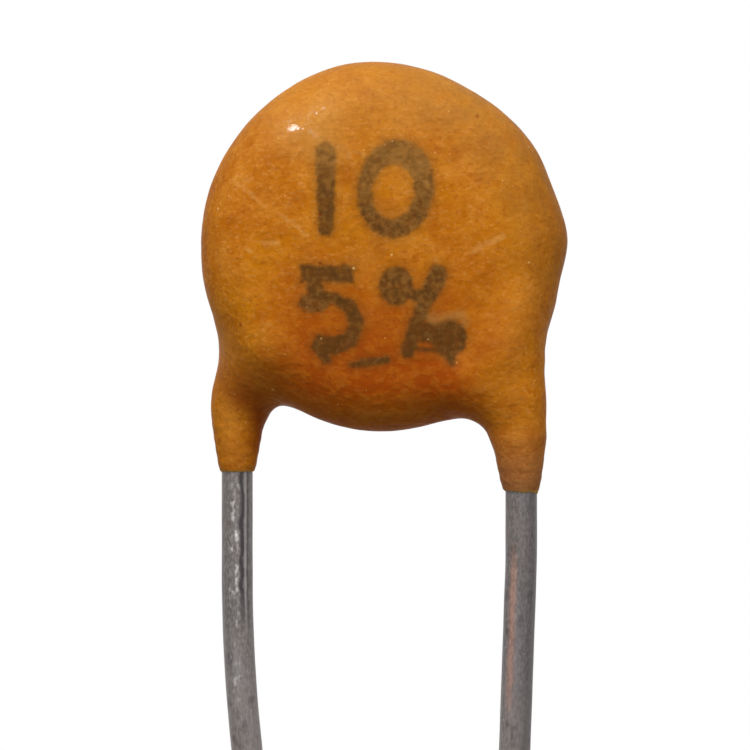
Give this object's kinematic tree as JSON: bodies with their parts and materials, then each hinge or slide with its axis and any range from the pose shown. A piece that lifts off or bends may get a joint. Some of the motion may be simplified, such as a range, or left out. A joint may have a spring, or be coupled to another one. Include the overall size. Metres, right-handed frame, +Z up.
{
  "type": "ceramic disc capacitor",
  "caption": "Round dip-coated ceramic disc capacitor with coated legs and two radial wire leads, for soldering into a board.",
  "frame": {"origin": "midway between the two wires at the seating plane, where the longer coated leg ends", "axes": "+Z up through the disc, with the leads pointing down -Z; +X from the left lead to the right lead; the printed face looks along -Y"},
  "size_m": [0.0065, 0.0024, 0.0196],
  "materials": {
    "coating": "waxed phenolic dip, satin, with fine grain",
    "ceramic": "fired, unglazed",
    "silver": "fired silver paste, matt",
    "tinned_wire": "dull tinned copper wire with drawing marks",
    "solder": "dull grey solder"
  },
  "bodies": {
    "root": {"coating": "coating", "ceramic_disc": "ceramic", "front_electrode": "silver", "back_electrode": "silver", "left_lead": "tinned_wire", "right_lead": "tinned_wire", "front_solder": "solder", "back_solder": "solder"}
  },
  "joints": []
}
